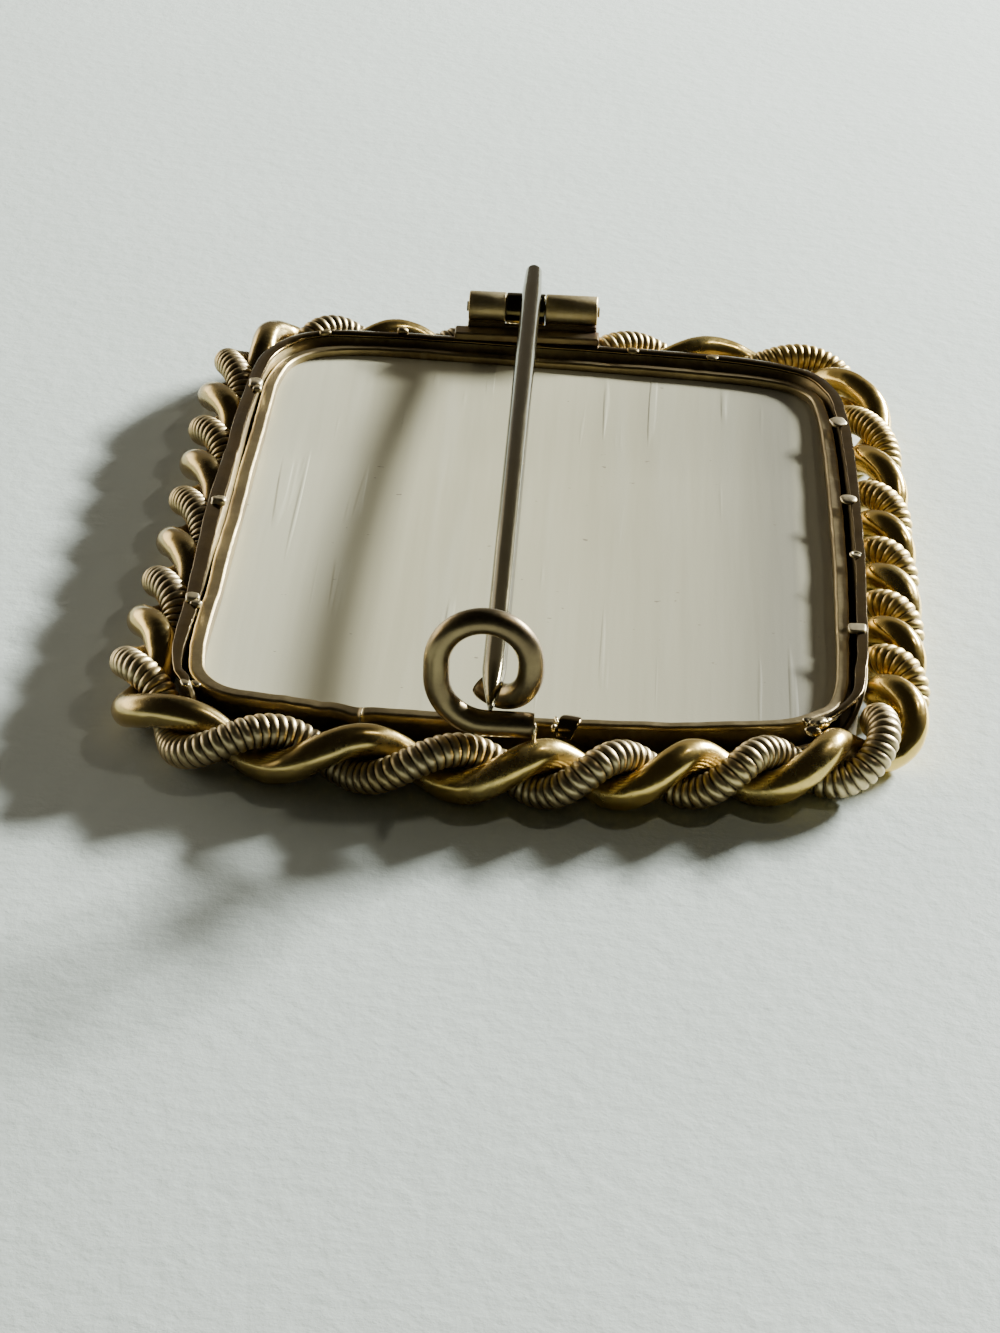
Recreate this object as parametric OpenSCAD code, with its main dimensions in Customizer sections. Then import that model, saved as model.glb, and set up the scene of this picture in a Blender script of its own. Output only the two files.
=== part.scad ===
// Porcelain plaque brooch seen from its back, lying face down with the pin on top.
// Lengths are in millimetres. X runs to the viewer's right, Y away to the hinge side, Z up.

/* [Rope border] */
// Thickness of each of the two twisted strands
strand_d = 2.0; // [1.6:0.05:2.4]
// Play left between the two strands where they cross
strand_gap = 0.06; // [0.02:0.01:0.2]
// Twisted strands go round this many times in one lap of the border
rope_turns = 19; // [12:1:24]
// Rings of the drawn strand in each turn
strand_rings = 13; // [8:1:20]
// Corners of the drawn strand's round section
strand_sides = 12; // [8:1:16]

/* [Porcelain] */
// Height of the plaque's flat back over the table
plaque_back = 2.5; // [2:0.1:4]
// Height of the plaque's edge, on the face side
plaque_edge = 0.9; // [0.6:0.05:1.5]
// Height of the middle of the domed face over the table
face_low = 0.3; // [0.2:0.05:0.8]
// Radius of the face's gentle dome
face_radius = 800; // [300:10:2000]
// How far the plaque reaches under the bezel's edge
plaque_reach = 0.17; // [0.1:0.01:0.4]
// How far the domed face stands in from the bezel's edge
dome_inset = 0.42; // [0.3:0.02:1]

/* [Bezel] */
// Height of the rolled edge that holds the plaque's back
lip_top = 3.5; // [3:0.1:4.5]
// Width of the rolled edge
lip_width = 0.75; // [0.5:0.05:1.2]
// Depth of the rolled edge
lip_depth = 0.95; // [0.5:0.05:1.4]
// Thickness of the bezel's wall
bezel_wall = 0.28; // [0.2:0.02:0.6]
// Underside of the bezel over the table
bezel_low = 0.62; // [0.4:0.02:1]
// How far the bezel's foot reaches in under the plaque's edge
foot_reach = 0.37; // [0.2:0.01:0.4]
// Play between the bezel and the plaque
seat_gap = 0.05; // [0.02:0.01:0.1]

/* [Setting] */
// Top of the outer wall, over the table
rim_top = 4.05; // [3.6:0.05:5]
// Width of the flared rim of the outer wall
rim_width = 0.55; // [0.4:0.05:1]
// How far the wall under the rim stands in from the rim's outer edge
rim_flare = 0.9; // [0.85:0.05:1.2]
// Thickness of the low wall
wall_t = 0.35; // [0.25:0.05:0.8]
// Underside of the ledge that carries the bezel
ledge_low = 0.3; // [0.2:0.05:0.6]
// Thickness of that ledge
ledge_t = 0.25; // [0.2:0.05:0.5]
// How far the ledge's inner edge stands out from the bezel's edge
ledge_inset = 0.1; // [0:0.05:0.3]
// Thickness of each bent claw
claw_t = 0.5; // [0.3:0.05:0.8]
// Width of each bent claw
claw_w = 0.95; // [0.6:0.05:1.5]
// Length of the claw's arm behind its round end
claw_arm = 0.8; // [0.5:0.05:1]
// Height of the claws over the bezel's rolled edge
claw_lift = 0.08; // [0.02:0.01:0.2]

/* [Hinge] */
// Distance of the hinge line from the border's middle
hinge_y = 29.1; // [28.5:0.1:30]
// Height of the hinge line over the table
hinge_z = 5.45; // [5.4:0.05:7]
// Thickness of the hinge barrel
barrel_d = 2.24; // [1.6:0.02:3]
// Left end of the barrel
barrel_left = -5.9; // [-8:0.1:-4]
// Right end of the barrel
barrel_right = 3.2; // [1:0.1:6]
// Left side of the middle knuckle, which turns with the pin
knuckle_left = -3.25; // [-5:0.05:-2]
// Right side of the middle knuckle
knuckle_right = -0.5; // [-1.5:0.05:1]
// Play on either side of the middle knuckle
knuckle_play = 0.1; // [0.05:0.01:0.3]
// Thickness of the rivet
rivet_d = 0.72; // [0.5:0.02:1.2]
// How far the rivet shows at either end of the barrel
rivet_end = 0.15; // [0.05:0.05:0.4]
// Running fit of the middle knuckle on the rivet, all round
rivet_fit = 0.05; // [0.02:0.01:0.1]
// Fit of the outer knuckles on the rivet, all round
rivet_seat = 0.02; // [0.01:0.01:0.05]
// Top of the plate that carries the barrel
plate_top = 4.6; // [4.4:0.05:5]
// How far the plate's near edge stands inside the hinge line
plate_reach = 2.85; // [2.6:0.05:3.2]
// How far the plate's far edge stands inside the hinge line
plate_end = 1.35; // [1.3:0.05:1.6]
// How far the plate runs past the barrel at either end
plate_side = 1.3; // [0.5:0.1:2]
// How far the knuckles' feet rise over the plate
foot_rise = 0.3; // [0.1:0.05:0.5]
// Gap between the knuckles' feet and the rope
rope_clear = 0.12; // [0.05:0.01:0.3]

/* [Pin] */
// Thickness of the pin's wire
pin_d = 1.36; // [1:0.02:1.8]
// Height of the pin's middle where it crosses the hinge
pin_hinge_z = 6.8; // [6.6:0.05:7.2]
// Place of the point, measured from the border's middle
pin_tip_y = -32.4; // [-34:0.1:-30]
// Height of the point
pin_tip_z = 7.45; // [7.2:0.05:8]
// Sideways place of the pin at the hinge
pin_hinge_x = -1.5; // [-2:0.02:-1]
// Sideways place of the pin at the point
pin_tip_x = -1.14; // [-2:0.02:-0.5]
// Length of the filed point
point_len = 5.2; // [3:0.1:8]
// Thickness of the point's end
tip_d = 0.24; // [0.1:0.02:0.5]
// Length of the slight narrowing before the point
shoulder_len = 1.7; // [1:0.1:3]
// Thickness where the point starts
shoulder_d = 1.32; // [1:0.02:1.8]
// Distance from the hinge to where the pin reaches its full thickness
neck_len = 2.2; // [1.5:0.1:3]
// Length of the tail behind the hinge
tail_len = 3.6; // [1:0.1:4]
// Thickness of the tail's end
tail_d = 1.02; // [0.8:0.02:1.36]

/* [Catch] */
// Thickness of the scroll catch's wire
catch_d = 1.5; // [1.2:0.05:2]
// Place of the scroll, measured from the border's middle
catch_y = -28.95; // [-30:0.05:-28]
// Height of the scroll's foot
catch_foot_z = 4.6; // [4.4:0.05:5.2]
// Right end of the scroll's foot
catch_foot_x = 1.2; // [0.5:0.1:2]
// Sideways place where the foot starts to bend up
catch_bend_x = -1.45; // [-2:0.05:-1]
// Radius of the scroll's lower left bend
catch_low_r = 2.9; // [2:0.1:4]
// Height where the scroll's top bend starts
catch_top_z = 8.4; // [8:0.1:9]
// Radius of the scroll's top
catch_top_r = 2.64; // [2:0.02:3.5]
// Radius of the curl that holds the pin
curl_r = 2.55; // [1.5:0.05:3]
// Height where the curl starts
curl_z = 8.2; // [8:0.1:8.4]
// Turn of the curl away from the scroll, in degrees
curl_yaw = 37.5; // [0:0.5:60]
// Bend of the curl, in degrees
curl_sweep = 115; // [90:1:150]

/* [Hidden] */
$fn = 48;
mid = [0.13, 0.4];
rope_d = 2 * strand_d + strand_gap;
rope_z = rope_d / 2;
strand_off = (strand_d + strand_gap) / 2;
rope_first = 0.57;
eps = 0.01;
barrel_r = barrel_d / 2;
dome_rows = 12;
dome_reach = 32;
lip_steps = 96;
wall_steps = 100;
lap_steps = 500;

// The rope's middle line, round from the near left: place of each row, and turns made up to it.
// Columns: x, y, turns.
rope_plan = [
    [-13.6, -28.7, 0.57],
    [-7.0, -29.4, 1.19],
    [0.0, -29.9, 1.86],
    [7.0, -29.5, 2.68],
    [13.6, -28.4, 3.49],
    [18.7, -26.8, 4.12],
    [21.8, -22.5, 4.72],
    [22.2, -15.0, 5.72],
    [22.35, -5.0, 7.12],
    [22.35, 5.0, 8.41],
    [22.2, 14.0, 9.26],
    [21.5, 22.2, 9.88],
    [19.1, 27.5, 10.33],
    [13.0, 28.6, 10.80],
    [5.0, 28.95, 11.48],
    [-4.0, 28.4, 12.28],
    [-12.5, 29.1, 13.10],
    [-18.5, 28.6, 13.79],
    [-21.6, 23.4, 14.35],
    [-21.8, 14.0, 15.18],
    [-21.65, 4.0, 16.11],
    [-21.65, -6.0, 16.96],
    [-21.9, -16.0, 17.91],
    [-21.9, -22.9, 18.57],
    [-18.8, -27.4, 19.07],
];

// Inner edge of the bezel, round from the near left. Columns: x, y.
lip_plan = [
    [-14.3, -24.8],
    [-7.0, -25.7],
    [0.0, -25.95],
    [7.0, -25.75],
    [13.6, -25.0],
    [16.9, -23.7],
    [18.4, -20.6],
    [18.8, -10.0],
    [18.9, 0.0],
    [18.85, 10.0],
    [18.5, 18.5],
    [17.5, 21.7],
    [14.8, 23.1],
    [8.0, 23.9],
    [0.0, 24.5],
    [-8.0, 25.0],
    [-13.6, 25.1],
    [-17.0, 23.6],
    [-18.3, 20.0],
    [-18.45, 11.0],
    [-18.45, 0.0],
    [-18.45, -11.0],
    [-18.45, -20.0],
    [-17.4, -23.5],
];

// Outer edge of the flared rim, round from the near left. Columns: x, y.
rim_plan = [
    [-13.5, -27.4],
    [-7.0, -28.2],
    [0.0, -28.7],
    [7.0, -28.3],
    [13.5, -27.3],
    [17.8, -25.8],
    [20.5, -22.2],
    [21.0, -15.0],
    [21.15, -5.0],
    [21.15, 5.0],
    [20.95, 14.0],
    [20.3, 20.8],
    [17.8, 24.6],
    [13.0, 25.9],
    [5.0, 26.6],
    [-4.0, 27.0],
    [-12.0, 27.35],
    [-17.3, 26.7],
    [-20.0, 22.4],
    [-20.6, 14.0],
    [-20.45, 4.0],
    [-20.45, -6.0],
    [-20.7, -16.0],
    [-20.5, -22.6],
    [-18.2, -26.1],
];

// Claws bent in from the rim over the bezel. Columns: x, y of the claw's tip, direction it points.
claws = [
    [19.65, 16.0, 180],
    [19.95, 4.0, 180],
    [20.05, -4.4, 180],
    [19.8, -14.2, 180],
    [-19.55, 16.6, 0],
    [-19.4, -1.6, 0],
    [-19.5, -14.8, 0],
    [-15.8, 25.9, 300],
    [-9.6, 26.0, 270],
    [6.4, 25.4, 270],
    [15.2, 24.9, 250],
    [3.2, -27.3, 90],
    [-18.6, -24.6, 45],
];

// Bands of the setting's wall, measured in from the rim's outer edge. Columns: outer, inner, low, high.
wall_bands = [
    [rim_flare, rim_flare + wall_t, ledge_low, 2.45],
    [rim_flare - 0.02, rim_flare + 0.23, 2.4, 3.35],
    [rim_width - 0.05, rim_flare + 0.15, 3.3, rim_top - 0.3],
    [0, rim_width, rim_top - 0.35, rim_top],
];

// Bands of the bezel, measured out from its inner edge. Columns: outer, inner, low, high.
wall_in = plaque_reach + seat_gap;
wall_out = wall_in + bezel_wall;
lip_low = lip_top - lip_depth;
bezel_bands = [
    [wall_out, -foot_reach, bezel_low, plaque_edge - seat_gap],
    [wall_out, wall_in, plaque_edge - seat_gap - eps, lip_low + 0.02],
    [lip_width - 0.1, 0, lip_low, lip_low + 0.25],
    [lip_width, 0, lip_low + 0.24, lip_top - 0.2],
    [lip_width - 0.15, 0.15, lip_top - 0.21, lip_top],
];

function blend(a, b, c, d, u) =
    0.5 * (2 * b + (c - a) * u + (2 * a - 5 * b + 4 * c - d) * u * u + (3 * b - a - 3 * c + d) * u * u * u);
function row(plan, i, lap) =
    let (n = len(plan), k = floor(i / n)) plan[i - k * n] + lap * k;
function along(plan, v, lap) =
    let (n = len(plan), i = floor(v * n), u = v * n - i)
    blend(row(plan, i - 1, lap), row(plan, i, lap), row(plan, i + 1, lap), row(plan, i + 2, lap), u);
function unit(p) = p / norm(p);
function outward(plan, v, lap) =
    let (step = along(plan, v + 0.001, lap) - along(plan, v - 0.001, lap), t = unit([step[0], step[1]]))
    [t[1], -t[0]];
function outline(plan, lap, grow, steps) =
    [
        for (i = [0:steps - 1])
            let (v = i / steps, p = along(plan, v, lap))
            [p[0], p[1]] + grow * outward(plan, v, lap)
    ];

function dome_height(r) = face_low + face_radius - sqrt(face_radius * face_radius - r * r);

rope_lap = [0, 0, rope_turns];
edge_lap = [0, 0];
place_at_turn = [for (k = [0:lap_steps]) [along(rope_plan, k / lap_steps, rope_lap)[2], k / lap_steps]];

// Middle of a strand after so many turns; side is 0 for the smooth strand, 180 for the wound one.
function strand_mid(turn, side) =
    let (
        v = lookup(turn, place_at_turn),
        p = along(rope_plan, v, rope_lap),
        n = outward(rope_plan, v, rope_lap),
        a = 90 + 360 * turn + side
    )
    [p[0] + n[0] * strand_off * cos(a), p[1] + n[1] * strand_off * cos(a), rope_z + strand_off * sin(a)];
function lap_turn(t) = t - rope_turns * floor((t - rope_first) / rope_turns);
function strand_ring(turn, side) =
    let (
        step = 0.01,
        m = strand_mid(turn, side),
        a = strand_mid(lap_turn(turn - step), side),
        b = strand_mid(lap_turn(turn + step), side),
        t = unit(b - a),
        v = lookup(turn, place_at_turn),
        p = along(rope_plan, v, rope_lap),
        r = m - [p[0], p[1], rope_z],
        n = unit(r - (r * t) * t),
        w = cross(t, n)
    )
    [
        for (k = [0:strand_sides - 1])
            let (q = 360 * k / strand_sides)
            m + strand_d / 2 * (cos(q) * n + sin(q) * w)
    ];

module placed() {
    translate([-mid[0], -mid[1], 0]) children();
}

module strand(side) {
    rings = rope_turns * strand_rings;
    points = [for (i = [0:rings - 1]) each strand_ring(rope_first + eps + i / strand_rings, side)];
    sides = strand_sides;
    faces = [
        for (i = [0:rings - 1], k = [0:sides - 1])
            let (j = (i + 1) % rings, l = (k + 1) % sides)
            each [
                [i * sides + k, j * sides + k, i * sides + l],
                [i * sides + l, j * sides + k, j * sides + l],
            ]
    ];
    polyhedron(points = points, faces = faces, convexity = 12);
}

module band(plan, steps, outer, inner, low, high) {
    translate([0, 0, low]) linear_extrude(high - low) difference() {
        polygon(outline(plan, edge_lap, outer, steps));
        polygon(outline(plan, edge_lap, inner, steps));
    }
}

module plaque() {
    color([0.86, 0.85, 0.8]) placed() {
        translate([0, 0, plaque_edge]) linear_extrude(plaque_back - plaque_edge)
            polygon(outline(lip_plan, edge_lap, plaque_reach, lip_steps));
        intersection() {
            translate([0, 0, face_low - 0.1]) linear_extrude(plaque_edge - face_low + 0.15)
                polygon(outline(lip_plan, edge_lap, -dome_inset, lip_steps));
            rotate_extrude($fn = 96) polygon([
                for (i = [0:dome_rows]) [dome_reach * i / dome_rows, dome_height(dome_reach * i / dome_rows)],
                [dome_reach, plaque_edge + 0.1],
                [0, plaque_edge + 0.1],
            ]);
        }
    }
}

module bezel() {
    color([0.55, 0.47, 0.27]) placed()
        for (b = bezel_bands) band(lip_plan, lip_steps, b[0], b[1], b[2], b[3]);
}

module claw(x, y, turn) {
    translate([x, y, lip_top + claw_lift]) rotate([0, 0, turn]) {
        cylinder(d = claw_w, h = claw_t);
        translate([-claw_arm, -claw_w / 2, 0]) cube([claw_arm, claw_w, claw_t]);
    }
}

module barrel(left, right, bore_r) {
    difference() {
        translate([left, hinge_y, hinge_z]) rotate([0, 90, 0]) cylinder(r = barrel_r, h = right - left);
        translate([left - 1, hinge_y, hinge_z]) rotate([0, 90, 0]) cylinder(r = bore_r, h = right - left + 2);
    }
}

module hinge_plate() {
    low = rim_top - 0.1;
    translate([barrel_left - plate_side, hinge_y - plate_reach, low])
        cube([barrel_right - barrel_left + 2 * plate_side, plate_reach - plate_end, plate_top - low]);
}

module hinge_foot(left, right) {
    low = rope_d + rope_clear;
    translate([left, hinge_y - plate_end - eps, low])
        cube([right - left, plate_end, plate_top + foot_rise - low]);
}

module arc_wire(radius, from_a, sweep) {
    rotate_extrude(start = from_a, angle = sweep, $fn = 72)
        translate([radius, 0]) circle(d = catch_d, $fn = 32);
}

module scroll_catch() {
    bend_z = catch_foot_z + catch_low_r;
    left_x = catch_bend_x - catch_low_r;
    translate([0, catch_y, 0]) {
        translate([catch_bend_x, 0, catch_foot_z]) rotate([0, 90, 0])
            cylinder(d = catch_d, h = catch_foot_x - catch_bend_x);
        translate([catch_bend_x, 0, bend_z]) rotate([90, 0, 0]) arc_wire(catch_low_r, 180, 90);
        translate([left_x, 0, bend_z]) cylinder(d = catch_d, h = catch_top_z - bend_z);
        translate([left_x + catch_top_r, 0, catch_top_z]) rotate([90, 0, 0]) arc_wire(catch_top_r, 0, 180);
        translate([left_x + 2 * catch_top_r, 0, curl_z]) {
            cylinder(d = catch_d, h = catch_top_z - curl_z);
            rotate([0, 0, -curl_yaw]) translate([-curl_r, 0, 0]) rotate([90, 0, 0])
                arc_wire(curl_r, 360 - curl_sweep, curl_sweep);
        }
    }
}

module setting() {
    color([0.5, 0.43, 0.24]) placed() {
        difference() {
            translate([0, 0, ledge_low]) linear_extrude(ledge_t)
                polygon(outline(rim_plan, edge_lap, -rim_flare, wall_steps));
            translate([0, 0, ledge_low - 1]) linear_extrude(ledge_t + 2)
                polygon(outline(lip_plan, edge_lap, ledge_inset, lip_steps));
        }
        for (b = wall_bands) band(rim_plan, wall_steps, -b[0], -b[1], b[2], b[3]);
        for (c = claws) claw(c[0], c[1], c[2]);
        hinge_plate();
        hinge_foot(barrel_left, knuckle_left - knuckle_play);
        hinge_foot(knuckle_right + knuckle_play, barrel_right);
        barrel(barrel_left, knuckle_left - knuckle_play, rivet_d / 2 + rivet_seat);
        barrel(knuckle_right + knuckle_play, barrel_right, rivet_d / 2 + rivet_seat);
        scroll_catch();
    }
}

module smooth_strand() {
    color([0.78, 0.64, 0.3]) placed() strand(0);
}

module wound_strand() {
    color([0.6, 0.55, 0.42]) placed() strand(180);
}

module hinge_rivet() {
    color([0.6, 0.52, 0.3]) placed() translate([barrel_left - rivet_end, hinge_y, hinge_z]) rotate([0, 90, 0])
        cylinder(d = rivet_d, h = barrel_right - barrel_left + 2 * rivet_end);
}

module pin() {
    run = [pin_tip_x - pin_hinge_x, pin_tip_y - hinge_y, pin_tip_z - pin_hinge_z];
    long = norm(run);
    pitch = acos(run[2] / long);
    yaw = atan2(run[1], run[0]);
    color([0.42, 0.38, 0.26]) placed() {
        difference() {
            union() {
                translate([knuckle_left, hinge_y, hinge_z]) rotate([0, 90, 0])
                    cylinder(r = barrel_r, h = knuckle_right - knuckle_left);
                translate([pin_hinge_x, hinge_y, pin_hinge_z]) rotate([0, pitch, yaw]) {
                    translate([0, 0, -tail_len]) sphere(d = tail_d);
                    translate([0, 0, -tail_len]) cylinder(d1 = tail_d, d2 = pin_d, h = tail_len + neck_len);
                    translate([0, 0, neck_len])
                        cylinder(d = pin_d, h = long - point_len - shoulder_len - neck_len);
                    translate([0, 0, long - point_len - shoulder_len])
                        cylinder(d1 = pin_d, d2 = shoulder_d, h = shoulder_len);
                    translate([0, 0, long - point_len]) cylinder(d1 = shoulder_d, d2 = tip_d, h = point_len);
                }
            }
            translate([knuckle_left - 1, hinge_y, hinge_z]) rotate([0, 90, 0])
                cylinder(r = rivet_d / 2 + rivet_fit, h = knuckle_right - knuckle_left + 2);
        }
    }
}

plaque();
bezel();
setting();
smooth_strand();
wound_strand();
hinge_rivet();
pin();
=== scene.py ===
import math
import bpy
import numpy as np
from mathutils import Matrix, Vector, noise


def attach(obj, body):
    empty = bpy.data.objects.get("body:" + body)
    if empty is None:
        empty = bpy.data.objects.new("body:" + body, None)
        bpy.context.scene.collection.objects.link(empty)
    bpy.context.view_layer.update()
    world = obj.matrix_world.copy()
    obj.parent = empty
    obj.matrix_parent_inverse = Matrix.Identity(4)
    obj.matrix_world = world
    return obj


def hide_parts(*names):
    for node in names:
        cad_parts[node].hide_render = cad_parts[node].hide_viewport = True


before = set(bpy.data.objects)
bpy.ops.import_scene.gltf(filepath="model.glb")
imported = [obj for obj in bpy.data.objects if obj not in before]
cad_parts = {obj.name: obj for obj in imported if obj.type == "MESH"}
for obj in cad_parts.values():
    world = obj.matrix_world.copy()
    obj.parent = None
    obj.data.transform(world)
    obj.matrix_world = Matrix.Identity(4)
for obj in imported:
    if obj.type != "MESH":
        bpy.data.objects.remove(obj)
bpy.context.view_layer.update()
mm = 0.001
photoMid = (0.13, 0.4)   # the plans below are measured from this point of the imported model, in mm
planSteps = 2400   # points of a plan's line before they are spread evenly
print("frame loaded:", sorted(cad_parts))

# The rope's middle line as it lies round the setting: x, y, and the turns made up to there
ropePlan = {
    "turns": 19,
    "rows": [
        (-13.6, -28.7, 0.57), (-7.0, -29.4, 1.19), (0.0, -29.9, 1.86), (7.0, -29.5, 2.68),
        (13.6, -28.4, 3.49), (18.7, -26.8, 4.12), (21.8, -22.5, 4.72), (22.2, -15.0, 5.72),
        (22.35, -5.0, 7.12), (22.35, 5.0, 8.41), (22.2, 14.0, 9.26), (21.5, 22.2, 9.88),
        (19.1, 27.5, 10.33), (13.0, 28.6, 10.80), (5.0, 28.95, 11.48), (-4.0, 28.4, 12.28),
        (-12.5, 29.1, 13.10), (-18.5, 28.6, 13.79), (-21.6, 23.4, 14.35), (-21.8, 14.0, 15.18),
        (-21.65, 4.0, 16.11), (-21.65, -6.0, 16.96), (-21.9, -16.0, 17.91), (-21.9, -22.9, 18.57),
        (-18.8, -27.4, 19.07),
    ],
}
# Inner edge of the bezel's rolled lip
lipPlan = [
    (-14.3, -24.8), (-7.0, -25.7), (0.0, -25.95), (7.0, -25.75), (13.6, -25.0), (16.9, -23.7),
    (18.4, -20.6), (18.8, -10.0), (18.9, 0.0), (18.85, 10.0), (18.5, 18.5), (17.5, 21.7),
    (14.8, 23.1), (8.0, 23.9), (0.0, 24.5), (-8.0, 25.0), (-13.6, 25.1), (-17.0, 23.6),
    (-18.3, 20.0), (-18.45, 11.0), (-18.45, 0.0), (-18.45, -11.0), (-18.45, -20.0), (-17.4, -23.5),
]
# Outer face of the setting's wall would stand 0.9 mm inside this line
wallPlan = [
    (-13.5, -27.4), (-7.0, -28.2), (0.0, -28.7), (7.0, -28.3), (13.5, -27.3), (17.8, -25.8),
    (20.5, -22.2), (21.0, -15.0), (21.15, -5.0), (21.15, 5.0), (20.95, 14.0), (20.3, 20.8),
    (17.8, 24.6), (13.0, 25.9), (5.0, 26.6), (-4.0, 27.0), (-12.0, 27.35), (-17.3, 26.7),
    (-20.0, 22.4), (-20.6, 14.0), (-20.45, 4.0), (-20.45, -6.0), (-20.7, -16.0), (-20.5, -22.6),
    (-18.2, -26.1),
]


# Meshes

def through(a, b, c, d, u):
    # points between b and c on a smooth curve through all four
    square = (2 * a - 5 * b + 4 * c - d) * u**2
    cube = (3 * b - a - 3 * c + d) * u**3
    return 0.5 * (2 * b + (c - a) * u + square + cube)


def closedLine(rows, count, lap=0.0):
    # smooth closed line through the rows, the third column gaining lap every time round
    table = np.array(rows, float)
    n, width = table.shape
    spots = np.linspace(0, n, count, endpoint=False)
    base = np.floor(spots).astype(int)
    u = (spots - base)[:, None]

    def row(i):
        out = table[i % n].copy()
        if width > 2:
            out[:, 2] += lap * (i // n)
        return out

    return through(row(base - 1), row(base), row(base + 1), row(base + 2), u)


def openLine(rows, count):
    # smooth open line through the rows, each row of any width
    table = np.array(rows, float)
    table = np.vstack([2 * table[0] - table[1], table, 2 * table[-1] - table[-2]])
    spots = np.linspace(0, len(rows) - 1, count)
    base = np.minimum(np.floor(spots).astype(int), len(rows) - 2)
    u = (spots - base)[:, None]
    return through(table[base], table[base + 1], table[base + 2], table[base + 3], u)


def outwards(line):
    # unit normals of a closed line that runs counter-clockwise
    step = np.roll(line[:, :2], -1, 0) - np.roll(line[:, :2], 1, 0)
    step /= np.linalg.norm(step, axis=1)[:, None]
    return np.stack([step[:, 1], -step[:, 0]], 1)


def evenSpots(line, count):
    # the same closed line with its points spread evenly
    ring = np.vstack([line, line[:1]])
    run = np.concatenate([[0], np.cumsum(np.linalg.norm(np.diff(ring[:, :3], axis=0), axis=1))])
    want = np.linspace(0, run[-1], count, endpoint=False)
    return np.stack([np.interp(want, run, ring[:, k]) for k in range(line.shape[1])], 1)


def gridFaces(rings, sides, closed, shift=0):
    # quads between neighbouring rings; shift is how many rings one trip round climbs
    faces = []
    for i in range(rings if closed else rings - 1):
        for k in range(sides):
            j = i + 1
            k2 = k + 1
            up = 0
            if k2 == sides:
                k2 = 0
                up = shift
            faces.append((
                (i % rings) * sides + k,
                ((i + up) % rings) * sides + k2,
                ((j + up) % rings) * sides + k2,
                (j % rings) * sides + k,
            ))
    return faces


def endFaces(rings, sides):
    # the first and the last ring closed
    first = tuple(range(sides))
    last = tuple(reversed(range((rings - 1) * sides, rings * sides)))
    return [first, last]


def makePiece(name, points, faces, material, body, stands, smooth=True, layers=None):
    # points come in mm from the photo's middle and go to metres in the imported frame;
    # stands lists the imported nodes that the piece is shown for
    mesh = bpy.data.meshes.new(name)
    place = (np.array(points, float) - np.array([photoMid[0], photoMid[1], 0.0])) * mm
    mesh.from_pydata(place.tolist(), [], faces)
    mesh.validate()
    for layer, values in (layers or {}).items():
        attribute = mesh.attributes.new(layer, "FLOAT", "POINT")
        attribute.data.foreach_set("value", np.array(values, np.float32))
    if smooth:
        mesh.shade_smooth()
    else:
        mesh.shade_flat()
    mesh.materials.append(material)
    piece = bpy.data.objects.new(name, mesh)
    bpy.context.scene.collection.objects.link(piece)
    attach(piece, body)
    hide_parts(*stands)
    return piece


def roundCorners(corners, steps):
    # corners are (x, y, radius); each becomes an arc
    out = []
    n = len(corners)
    for i in range(n):
        x, y, r = corners[i]
        here = np.array([x, y])
        back = np.array(corners[i - 1][:2]) - here
        on = np.array(corners[(i + 1) % n][:2]) - here
        lb, lo = np.linalg.norm(back), np.linalg.norm(on)
        back, on = back / lb, on / lo
        half = math.acos(max(-1, min(1, float(back @ on)))) / 2
        cut = min(r / math.tan(half), 0.48 * lb, 0.48 * lo)
        start, end = here + back * cut, here + on * cut
        for s in range(steps + 1):
            t = s / steps
            out.append(tuple((1 - t)**2 * start + 2 * t * (1 - t) * here + t**2 * end))
    return out


def wireFrames(path):
    # directions along a path that doesn't start upright, and a pair of sides that doesn't twist
    path = np.array(path, float)
    step = np.gradient(path, axis=0)
    step /= np.linalg.norm(step, axis=1)[:, None]
    side = np.zeros_like(path)
    first = np.cross(step[0], [0.0, 0.0, 1.0])
    side[0] = first / np.linalg.norm(first)
    for i in range(1, len(path)):
        s = side[i - 1] - step[i] * (side[i - 1] @ step[i])
        side[i] = s / np.linalg.norm(s)
    return step, side, np.cross(step, side)


def wire(path, radii, sides):
    # round wire along an open path, closed by flat ends
    step, a, b = wireFrames(path)
    points = []
    for i, p in enumerate(path):
        for k in range(sides):
            q = 2 * math.pi * k / sides
            points.append(tuple(np.array(p) + radii[i] * (math.cos(q) * a[i] + math.sin(q) * b[i])))
    return points, gridFaces(len(path), sides, False) + endFaces(len(path), sides)


def joinParts(parts):
    points, faces = [], []
    for p, f in parts:
        base = len(points)
        points += [tuple(q) for q in p]
        faces += [tuple(v + base for v in face) for face in f]
    return points, faces


def arc(centre, u, v, radius, start, sweep, steps):
    # points of an arc in the plane of u and v
    c, u, v = np.array(centre, float), np.array(u, float), np.array(v, float)
    out = []
    for s in range(steps + 1):
        t = math.radians(start + sweep * s / steps)
        out.append(c + radius * (math.cos(t) * u + math.sin(t) * v))
    return out


def wobble(*where, scale, seed=0.0):
    # smooth noise between about -1 and 1
    p = [w * scale for w in where] + [0.0] * (3 - len(where))
    return noise.noise(Vector((p[0] + seed, p[1] - seed, p[2] + 2 * seed)))


def uneven(rows, *where):
    # sum of wobbles; each row is a size, a scale and a seed
    return sum(size * wobble(*where, scale=scale, seed=seed) for size, scale, seed in rows)


def ramp(value, start, end):
    # 0 at start, 1 at end, straight between them
    return min(1.0, max(0.0, (value - start) / (end - start)))


# Shader values

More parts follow.
